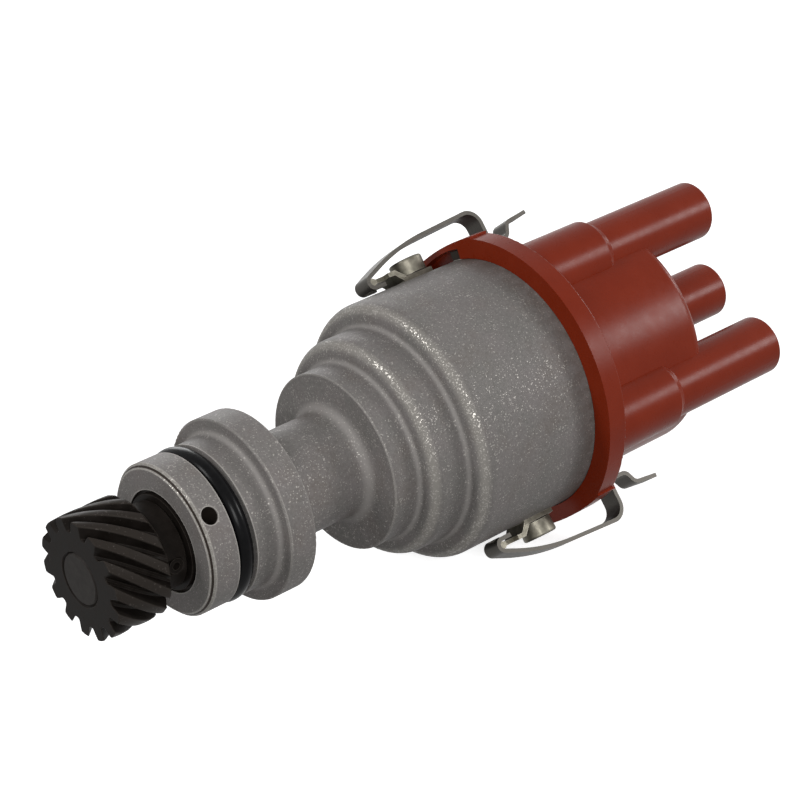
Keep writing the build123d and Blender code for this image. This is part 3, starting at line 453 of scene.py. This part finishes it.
patch = cast.levels(cast.noise(2.6, 2.0), 0.4, 0.7, 0.0, 0.08)
rarity = cast.math("SUBTRACT", cast.levels(crown_highlight_band, 0.0, 1.0, RARE, COMMON), patch)
glint = cast.compare(cast.noise(0.42, 1.5, 0.5), rarity, 0.07)
# painted glints: light flecks laid into the colour
glint_painted = cast.mix(cast.math("MULTIPLY", glint, 0.85), crown_highlighted, PAINTED_GLINT)
# the sharp edges are painted lighter: worn metal, and a painted highlight where they catch the light
worn_and_highlit_edges = cast.mix(cast.edges(0.6, 12.0), glint_painted, EDGE_WEAR_AND_HIGHLIGHT)
shine = cast.math("MULTIPLY", glint, cast.levels(crown_highlight_band, 0.0, 1.0, 0.35, 0.7))
cast.link(shine, cast.shader.inputs["Metallic"])
cast.roughness(cast.levels(shine, 0.0, 1.0, 0.5, 0.25))
cast.bump(cast.noise(0.45, 2.0, 0.7), 0.07, 0.9)
cast.reflect(0.1)
print("glints gather on the crowns: threshold", RARE, "down to", COMMON)

# %% [markdown]
# Under the cap's rim the casting darkens towards the rim: an uneven brown soot, and with it
# a painted shade where the rim overhangs. The oil hole, the seal's groove and the small key
# at the bowl's mouth are darkened with painted shade. The hole and the groove lie inside the
# collar's skin, and the key outside the bowl's, so a distance from the axis finds them.

# %% Soot and painted shade
RIM_SOOT_AND_SHADE, PAINTED_RECESS_SHADE = (0.08, 0.058, 0.044), (0.028, 0.022, 0.018)
RIM_SPAN = (82.0, 89.5)
COLLAR_SPAN, COLLAR_SKIN_MM = (-19.9, -7.0), 19.0
KEY_SKIN_MM = 34.7

# darker towards the rim: brown soot and a painted shade under the rim together
near_rim = cast.levels(x_mm, *RIM_SPAN, 0.0, 1.0)
uneven = cast.levels(cast.noise(3.0, 4.0), 0.4, 0.6, 0.3, 1.0)
rim_soot_and_shade_mask = cast.math("MULTIPLY", near_rim, uneven)
sooted_and_shaded = cast.mix(cast.math("MULTIPLY", rim_soot_and_shade_mask, 0.55), worn_and_highlit_edges, RIM_SOOT_AND_SHADE)
# painted shade in the collar's hole, groove and recess, and on the key in the rim's notch
under_skin = cast.math("LESS_THAN", radius_mm, COLLAR_SKIN_MM)
in_collar = cast.math("MULTIPLY", under_skin, cast.bands(x_mm, COLLAR_SPAN))
on_key = cast.math("GREATER_THAN", radius_mm, KEY_SKIN_MM)
cast.color(cast.mix(cast.math("MAXIMUM", in_collar, on_key), sooted_and_shaded, PAINTED_RECESS_SHADE))
dress(cast, "housing")

# %% [markdown]
# ## Cap and rotor
# Both are pressed from a brown-red thermosetting resin. The skin is smooth from the mould,
# with a soft gloss and hardly any grain, so the colour varies only a little.

# %% Brown-red resin
resin = Finish("moulded_resin", (0.17, 0.016, 0.004), 0.32)
resin.mottle(9.0, 3.0, 0.35, 0.7, (0.176, 0.0165, 0.0034), (0.196, 0.02, 0.005))
resin.wander(2.5, 4.0, 0.25, 0.33)
resin.bump(resin.noise(1.2, 2.0), 0.012, 0.5)
resin.reflect(0.12)
dress(resin, "distributor_cap", "rotor_arm")

# %% [markdown]
# ## Drive gear
# The gear is hardened steel with a black oxide skin and a film of oil. It is nearly black,
# with brownish metal along the crests, where the other gear has rubbed, and small bright
# chips that are commoner towards the crests. The rubbed zone could be painted tooth by
# tooth, but all crests lie at one radius, so the distance from the axis is enough.

# %% Oiled black steel
OXIDE_DARK, OXIDE_LIGHT = (0.008, 0.0064, 0.0053), (0.015, 0.0122, 0.0105)
RUBBED, CHIPPED, EDGE_WORN = (0.03, 0.025, 0.0215), (0.1, 0.088, 0.08), (0.05, 0.042, 0.036)
CREST_STARTS_MM, CREST_FULL_MM = 14.9, 15.2
GAP_MM = 13.0

dark_steel = Finish("oiled_black_steel", (0.012, 0.01, 0.0085), 0.36)
from_axis = dark_steel.axis_parts()[1]
blotch = dark_steel.noise(3.0, 4.0)
skin = dark_steel.ramp(blotch, 0.35, 0.75, OXIDE_DARK, OXIDE_LIGHT)
crest = dark_steel.levels(from_axis, CREST_STARTS_MM, CREST_FULL_MM, 0.0, 0.8)
rubbed = dark_steel.mix(crest, skin, RUBBED)
chip_rarity = dark_steel.levels(from_axis, GAP_MM, CREST_FULL_MM, 0.76, 0.65)
chip = dark_steel.compare(dark_steel.noise(0.6, 2.0), chip_rarity, 0.05)
chipped = dark_steel.mix(dark_steel.math("MULTIPLY", chip, 0.6), rubbed, CHIPPED)
dark_steel.color(dark_steel.mix(dark_steel.edges(0.25), chipped, EDGE_WORN))
dark_steel.roughness(dark_steel.levels(blotch, 0.3, 0.7, 0.32, 0.46))
dark_steel.bump(dark_steel.noise(0.5, 2.0), 0.02, 0.6)
dark_steel.reflect(0.04)
dress(dark_steel, "drive_gear", "gear_pin", "thrust_washer")

# %% [markdown]
# The teeth are wide at the crest, with narrow gaps that wind round the axis as a screw's
# thread does. Half a tooth's outline is enough to start with: a mirror makes the tooth, and
# turned copies make the ring. A whole ring could be written out vertex by vertex, but then
# a change to the tooth would have to be made fourteen times. Each pair below is a radius in
# mm and an angle in degrees from the middle of the crest.

# %% The ring of teeth
TEETH = 14
TOOTH_PLACE = math.radians(11.2)
HALF_TOOTH = (
    (12.15, -12.857), (12.35, -9.6), (12.9, -8.5), (13.7, -7.6), (14.5, -6.7),
    (15.1, -5.8), (15.3, -4.9), (15.36, -2.4), (15.38, 0.0),
)
SAME_PLACE = 1e-6
SHAFT_LINE = (1, 0, 0)

gear_low, gear_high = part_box("drive_gear")
gear_face = gear_low.x
gear_mesh = bmesh.new()
chain = []
for radius, degrees in HALF_TOOTH:
    turned = Matrix.Rotation(math.radians(degrees), 3, "X") @ Vector((0.0, radius * MM, 0.0))
    chain.append(gear_mesh.verts.new(turned))
for first, second in zip(chain, chain[1:]):
    gear_mesh.edges.new((first, second))
bmesh.ops.mirror(gear_mesh, geom=gear_mesh.verts[:] + gear_mesh.edges[:], axis="Z", merge_dist=SAME_PLACE)
bmesh.ops.spin(gear_mesh, geom=gear_mesh.verts[:] + gear_mesh.edges[:], cent=(0, 0, 0), axis=SHAFT_LINE,
               angle=math.tau, steps=TEETH, use_duplicate=True)
bmesh.ops.remove_doubles(gear_mesh, verts=gear_mesh.verts, dist=SAME_PLACE)
bmesh.ops.rotate(gear_mesh, verts=gear_mesh.verts, matrix=Matrix.Rotation(TOOTH_PLACE, 3, "X"))
bmesh.ops.translate(gear_mesh, verts=gear_mesh.verts, vec=(gear_face, 0, 0))
ring_size = len(gear_mesh.verts)
print("gear outline:", ring_size, "vertices,", len(gear_mesh.edges), "edges")

# %% [markdown]
# A spin that also moves along the axis sweeps the ring into helical teeth. Their far ends
# are turned down to a cone on the real gear, so that it slides into place, and here the
# vertices that stand outside the cone are drawn in to it. A Boolean with a cone would do it
# too, but it would cut the tidy rows of faces.

# %% Helical sweep and turned ends
TWIST_PER_MM = math.radians(3.5)
TOOTH_LENGTH = 16.8
SWEEP_STEPS = 28
ROOT_RADIUS = 12.3
CONE_LENGTH = 2.0
CONE_RISE = 3.1


def radius_of(vert):
    """How far a vertex is from the shaft's axis."""
    return math.hypot(vert.co.y, vert.co.z)


bmesh.ops.spin(gear_mesh, geom=gear_mesh.verts[:] + gear_mesh.edges[:], cent=(gear_face, 0, 0),
               axis=SHAFT_LINE, dvec=(TOOTH_LENGTH * MM / SWEEP_STEPS, 0, 0),
               angle=TWIST_PER_MM * TOOTH_LENGTH, steps=SWEEP_STEPS)
gear_back = gear_face + TOOTH_LENGTH * MM
for vert in gear_mesh.verts:
    to_back = (gear_back - vert.co.x) / MM
    limit = (ROOT_RADIUS + to_back * CONE_RISE / CONE_LENGTH) * MM
    if radius_of(vert) > limit:
        vert.co.yz *= limit / radius_of(vert)
print("swept teeth:", len(gear_mesh.faces), "faces")

# %% [markdown]
# The sweep is a tube that is open at both ends. Circles of edges, extruded step by step
# along the shaft, close it: the hub with its chamfer goes on at the back, the bore with its
# own runs through, and bridges join them to the rims of the teeth. The cutter leaves a
# slight burr round the face, so its edges get a very small bevel.

# %% Hub and bore
HUB_RADIUS = 0.011
BORE_RADIUS = 0.00662
BORE_CHAMFER = 0.0005
HUB_CHAMFER = 0.0006
BURR = 0.0002
BURR_RADIUS = 0.012


def in_plane(edge, x):
    """Whether an edge lies in one plane across the shaft."""
    return all(abs(v.co.x - x) < SAME_PLACE for v in edge.verts)


def rim_at(mesh, x):
    """The open edges that lie in one plane across the shaft."""
    return [e for e in mesh.edges if len(e.link_faces) < 2 and in_plane(e, x)]


def step_ring(mesh, edges, x, radius):
    """Extrudes a circle of edges to a new place along the shaft, at a new radius."""
    made = bmesh.ops.extrude_edge_only(mesh, edges=edges)["geom"]
    verts = [g for g in made if isinstance(g, bmesh.types.BMVert)]
    share = radius / radius_of(verts[0])
    bmesh.ops.scale(mesh, verts=verts, vec=(1.0, share, share))
    bmesh.ops.translate(mesh, verts=verts, vec=(x - verts[0].co.x, 0, 0))
    fresh = set(verts)
    return [e for e in mesh.edges if e.verts[0] in fresh and e.verts[1] in fresh]


def add_circle(mesh, x, radius):
    """A bare circle of edges round the shaft, with as many vertices as the gear's outline."""
    place = Matrix.Translation((x, 0, 0)) @ Matrix.Rotation(math.pi / 2, 4, "Y")
    verts = bmesh.ops.create_circle(mesh, segments=ring_size, radius=radius, matrix=place)["verts"]
    return list({e for v in verts for e in v.link_edges})


face_rim = rim_at(gear_mesh, gear_face)
back_rim = rim_at(gear_mesh, gear_back)
bore = add_circle(gear_mesh, gear_face, BORE_RADIUS + BORE_CHAMFER)
bmesh.ops.bridge_loops(gear_mesh, edges=face_rim + bore)
bore = step_ring(gear_mesh, bore, gear_face + BORE_CHAMFER, BORE_RADIUS)
hub = add_circle(gear_mesh, gear_back, HUB_RADIUS)
bmesh.ops.bridge_loops(gear_mesh, edges=back_rim + hub)
hub = step_ring(gear_mesh, hub, gear_high.x - HUB_CHAMFER, HUB_RADIUS)
hub = step_ring(gear_mesh, hub, gear_high.x, HUB_RADIUS - HUB_CHAMFER)
hub = step_ring(gear_mesh, hub, gear_high.x, BORE_RADIUS)
bmesh.ops.bridge_loops(gear_mesh, edges=bore + hub)
bmesh.ops.remove_doubles(gear_mesh, verts=gear_mesh.verts, dist=SAME_PLACE)
bmesh.ops.recalc_face_normals(gear_mesh, faces=gear_mesh.faces)
burrs = [e for e in gear_mesh.edges
         if in_plane(e, gear_face) and all(radius_of(v) > BURR_RADIUS for v in e.verts)]
bmesh.ops.bevel(gear_mesh, geom=burrs, offset=BURR, offset_type="OFFSET", segments=2, profile=0.5,
                affect="EDGES", material=-1, clamp_overlap=True)
print("face rim:", len(face_rim), "edges, back rim:", len(back_rim), "burred edges:", len(burrs))

# %% [markdown]
# The mesh becomes an object at the origin. The hub is then drilled across for its roll pin,
# all the way through, as the real one is once gear and shaft are together. This is one
# clean round hole through curved walls, which is what a Boolean is good for. It is applied
# at once, and the flat ends are shaded flat, since long thin faces would show as streaks.

# %% The finished gear
PIN_PLACE = -0.0243
PIN_TURN = math.radians(86.5)
PIN_HOLE_RADIUS = 0.00201
DRILL_LENGTH = 0.03
DRILL_SIDES = 48
GEAR_SHARP, PLAIN_SHARP = 20.0, 32.0
SQUARE_TO_SHAFT = 0.99


def finished_piece(name, mesh, finish, sharp_degrees=PLAIN_SHARP):
    """Turns a bmesh into an object at the origin, smooth but for its sharp edges."""
    open_edges = sum(1 for e in mesh.edges if len(e.link_faces) != 2)
    data = bpy.data.meshes.new(name)
    mesh.to_mesh(data)
    mesh.free()
    data.polygons.foreach_set("use_smooth", [True] * len(data.polygons))
    data.set_sharp_from_angle(angle=math.radians(sharp_degrees))
    data.materials.append(finish.material)
    piece = bpy.data.objects.new(name, data)
    bpy.context.scene.collection.objects.link(piece)
    print(name, "has", len(data.polygons), "faces and", open_edges, "open edges")
    return piece


helical_gear = finished_piece("helical_gear", gear_mesh, dark_steel, GEAR_SHARP)
drill_mesh = bmesh.new()
across_hub = Matrix.Translation((PIN_PLACE, 0, 0)) @ Matrix.Rotation(PIN_TURN, 4, "X")
bmesh.ops.create_cone(drill_mesh, cap_ends=True, segments=DRILL_SIDES, radius1=PIN_HOLE_RADIUS,
                      radius2=PIN_HOLE_RADIUS, depth=DRILL_LENGTH, matrix=across_hub)
drill = finished_piece("pin_drill", drill_mesh, dark_steel)
cut = helical_gear.modifiers.new("pin_hole", "BOOLEAN")
cut.operation = "DIFFERENCE"
cut.object = drill
depsgraph = bpy.context.evaluated_depsgraph_get()
drilled = bpy.data.meshes.new_from_object(helical_gear.evaluated_get(depsgraph))
helical_gear.modifiers.remove(cut)
helical_gear.data = drilled
bpy.data.objects.remove(drill)
for face in drilled.polygons:
    face.use_smooth = abs(face.normal.x) < SQUARE_TO_SHAFT
print("helical_gear after drilling:", len(drilled.polygons), "faces")
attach(helical_gear, "shaft")
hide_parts("drive_gear")

# %% [markdown]
# ## Bright and plated steels
# Turned steel shows fine rings round its axis, sheet steel is even, and the zinc plate on
# brackets and screws has a warm yellow tint that varies from spot to spot.

# %% Turned, sheet and plated steel
turned_steel = Finish("turned_steel", (0.5, 0.49, 0.47), 0.3, 1.0)
rings = turned_steel.noise(0.3, 2.0, 0.5, (8.0, 0.4, 0.4))
turned_steel.color(turned_steel.ramp(rings, 0.3, 0.7, (0.42, 0.41, 0.39), (0.58, 0.57, 0.55)))
turned_steel.roughness(turned_steel.levels(rings, 0.3, 0.7, 0.24, 0.4))
dress(turned_steel, "cam_sleeve", "arm_post", "upper_washer", "sleeve_ring")

dark_turned = Finish("dark_turned_steel", (0.03, 0.026, 0.023), 0.42)
dark_turned.mottle(2.0, 3.0, 0.3, 0.75, (0.02, 0.0175, 0.016), (0.034, 0.03, 0.027))
dark_turned.bump(dark_turned.noise(0.5, 2.0), 0.015, 0.5)
dark_turned.reflect(0.05)
dress(dark_turned, "drive_shaft")

sheet_steel = Finish("sheet_steel", (0.5, 0.48, 0.42), 0.36, 1.0)
sheet_steel.mottle(5.0, 4.0, 0.3, 0.7, (0.45, 0.42, 0.34), (0.58, 0.56, 0.5))
sheet_steel.wander(0.8, 3.0, 0.3, 0.46)
dress(sheet_steel, "advance_plate", "breaker_plate", "breaker_arm", "fixed_contact")

plated = Finish("zinc_plate", (0.22, 0.2, 0.16), 0.44, 0.7)
tint = plated.ramp(plated.noise(1.6, 3.0), 0.35, 0.7, (0.13, 0.12, 0.094), (0.22, 0.204, 0.164))
plated.color(plated.mix(plated.edges(0.25), tint, (0.3, 0.28, 0.235)))
plated.wander(0.6, 3.0, 0.38, 0.52)
dress(plated, "clip_brackets", "clip_screws", "plate_screws", "contact_screw", "condenser")

# %% [markdown]
# ## Spring steel
# The clips are rolled strip. Rolling leaves fine lines along the strip, so the noise is
# stretched along X, and the surface has a silky sheen rather than a mirror's.

# %% Rolled spring strip
strip = Finish("rolled_strip", (0.07, 0.066, 0.061), 0.45, 0.85)
lines = strip.noise(0.4, 3.0, 0.6, (0.12, 1.0, 1.0))
strip.color(strip.ramp(lines, 0.3, 0.7, (0.052, 0.048, 0.042), (0.085, 0.079, 0.07)))
strip.roughness(strip.levels(lines, 0.3, 0.7, 0.4, 0.52))
dress(strip, "clip_left", "clip_right", "advance_springs", "arm_spring", "brush_spring")

# %% [markdown]
# Two small tension springs hold the bob weights' yoke back until the engine turns fast. They
# are close-coiled wire, so a circle of wire is spun round the coil's axis with a small step
# along it. A curve with a round bevel could make the same coil, but the spin gives an even
# mesh whose ends are simple holes to fill. The coil stands upright at the origin for now.

# %% A coil of wire
WIRE_RADIUS = 0.00035
COIL_RADIUS = 0.00115
COIL_TURNS = 12
STEPS_PER_TURN = 24
WIRE_SIDES = 10
YOKE_POST = Vector((0.0, 0.006, 0.00644))
PLATE_POST = Vector((0.0, 0.02018, -0.00617))

half_span = (PLATE_POST - YOKE_POST).length / 2
half_coil = COIL_TURNS * WIRE_RADIUS
spring_mesh = bmesh.new()
coil_start = Matrix.Translation((COIL_RADIUS, 0, -half_coil)) @ Matrix.Rotation(math.pi / 2, 4, "X")
bmesh.ops.create_circle(spring_mesh, segments=WIRE_SIDES, radius=WIRE_RADIUS, matrix=coil_start)
bmesh.ops.spin(spring_mesh, geom=spring_mesh.verts[:] + spring_mesh.edges[:], cent=(0, 0, 0), axis=(0, 0, 1),
               dvec=(0, 0, 2 * WIRE_RADIUS / STEPS_PER_TURN), angle=math.tau * COIL_TURNS,
               steps=COIL_TURNS * STEPS_PER_TURN)
bmesh.ops.holes_fill(spring_mesh, edges=[e for e in spring_mesh.edges if e.is_boundary])
print("coil:", len(spring_mesh.faces), "faces,", round(2 * half_coil / MM, 1), "mm long")

# %% [markdown]
# Each end has an eye that hooks over a post, joined to the coil by a slanted leg. Each eye
# is a full turn of the same wire, closed on itself, and each leg a straight rod of it.

# %% Eyes and legs
EYE_RADIUS = 0.0014

for side in (-1, 1):
    end_mesh = bmesh.new()
    bmesh.ops.create_circle(end_mesh, segments=WIRE_SIDES, radius=WIRE_RADIUS,
                            matrix=Matrix.Translation((0, EYE_RADIUS, 0)))
    bmesh.ops.spin(end_mesh, geom=end_mesh.verts[:] + end_mesh.edges[:], cent=(0, 0, 0), axis=(1, 0, 0),
                   angle=math.tau, steps=STEPS_PER_TURN, use_merge=True)
    bmesh.ops.translate(end_mesh, verts=end_mesh.verts, vec=(0, 0, side * half_span))
    leg_start = Vector((COIL_RADIUS, 0, side * (half_coil - WIRE_RADIUS)))
    leg = Vector((0, 0, side * (half_span - EYE_RADIUS))) - leg_start
    along_leg = leg.to_track_quat("Z", "X").to_matrix().to_4x4()
    bmesh.ops.create_cone(end_mesh, cap_ends=True, segments=WIRE_SIDES, radius1=WIRE_RADIUS,
                          radius2=WIRE_RADIUS, depth=leg.length,
                          matrix=Matrix.Translation(leg_start + leg / 2) @ along_leg)
    end_data = bpy.data.meshes.new("spring_end")
    end_mesh.to_mesh(end_data)
    end_mesh.free()
    spring_mesh.from_mesh(end_data)
    bpy.data.meshes.remove(end_data)
print("one whole spring:", len(spring_mesh.faces), "faces")

# %% [markdown]
# The spring is laid between its two posts, and a copy turned half round the shaft is the
# other one. One eye stays on the shaft's plate and the other goes with the cam's yoke, so
# each spring is a piece of its own. Each is a rigid mesh, and a rigid spring would cut into
# the yoke at full advance.

# %% Advance springs
SPRING_SHARP = 60.0

spring_low, spring_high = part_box("advance_springs")
spring_line = (PLATE_POST - YOKE_POST).normalized()
across = Vector(SHAFT_LINE)
lay = Matrix((across, spring_line.cross(across), spring_line)).transposed().to_4x4()
middle = Vector(((spring_low.x + spring_high.x) / 2, 0, 0)) + (PLATE_POST + YOKE_POST) / 2
bmesh.ops.transform(spring_mesh, verts=spring_mesh.verts, matrix=Matrix.Translation(middle) @ lay)
bmesh.ops.recalc_face_normals(spring_mesh, faces=spring_mesh.faces)
for name, half_turn in (("coiled_spring_a", 0.0), ("coiled_spring_b", math.pi)):
    this_side = Matrix.Rotation(half_turn, 4, "X")
    spring_copy = spring_mesh.copy()
    bmesh.ops.transform(spring_copy, verts=spring_copy.verts, matrix=this_side)
    coiled_spring = finished_piece(name, spring_copy, strip, SPRING_SHARP)
    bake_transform(coiled_spring)
    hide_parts("advance_springs")
spring_mesh.free()

# %% [markdown]
# ## The small materials
# Each is one colour that drifts between two shades, at the grain the material has: porous
# bronze for the bushes, brass for the rotor's tip, bright alloy for the cap's terminals,
# pressed iron for the weights and carbon for the brush. Rubber and felt have a relief too,
# the rubber a very fine one and the felt a deep one, because it is a mat of fibres.

# %% Rubber and felt
rubber = Finish("seal_rubber", (0.003, 0.003, 0.0034), 0.24)
rubber.mottle(1.5, 2.0, 0.3, 0.7, (0.0024, 0.0024, 0.0028), (0.0048, 0.0048, 0.0052))
rubber.bump(rubber.noise(0.6, 2.0), 0.01, 0.3)
rubber.reflect(0.08)
dress(rubber, "collar_seal", "lead_grommet")

felt = Finish("felt", (0.42, 0.36, 0.26), 0.95)
felt.mottle(0.5, 5.0, 0.3, 0.7, (0.3, 0.25, 0.17), (0.5, 0.44, 0.33), rough=0.8)
felt.bump(felt.noise(0.4, 4.0, 0.8), 0.2, 1.0)
dress(felt, "felt_wick")

# %% Bronze, brass, alloy, iron and carbon
bronze = Finish("sintered_bronze", (0.5, 0.3, 0.13), 0.45, 1.0)
bronze.mottle(0.3, 2.0, 0.35, 0.65, (0.36, 0.21, 0.09), (0.56, 0.36, 0.17))
dress(bronze, "lower_bush", "upper_bush")

brass = Finish("brass", (0.68, 0.48, 0.2), 0.28, 1.0)
brass.mottle(3.0, 3.0, 0.3, 0.7, (0.6, 0.42, 0.17), (0.74, 0.55, 0.26))
dress(brass, "rotor_electrode")

alloy = Finish("terminal_alloy", (0.7, 0.7, 0.69), 0.3, 1.0)
alloy.mottle(1.0, 3.0, 0.3, 0.7, (0.6, 0.6, 0.59), (0.76, 0.76, 0.75))
dress(alloy, "outer_terminals", "centre_terminal")

iron = Finish("pressed_iron", (0.22, 0.215, 0.21), 0.5, 0.9)
iron.mottle(1.0, 4.0, 0.3, 0.7, (0.17, 0.165, 0.16), (0.28, 0.275, 0.27))
dress(iron, "bob_weight_a", "bob_weight_b")

carbon = Finish("carbon", (0.02, 0.02, 0.021), 0.5)
carbon.mottle(0.4, 2.0, 0.3, 0.7, (0.014, 0.014, 0.015), (0.035, 0.035, 0.036))
dress(carbon, "carbon_brush")
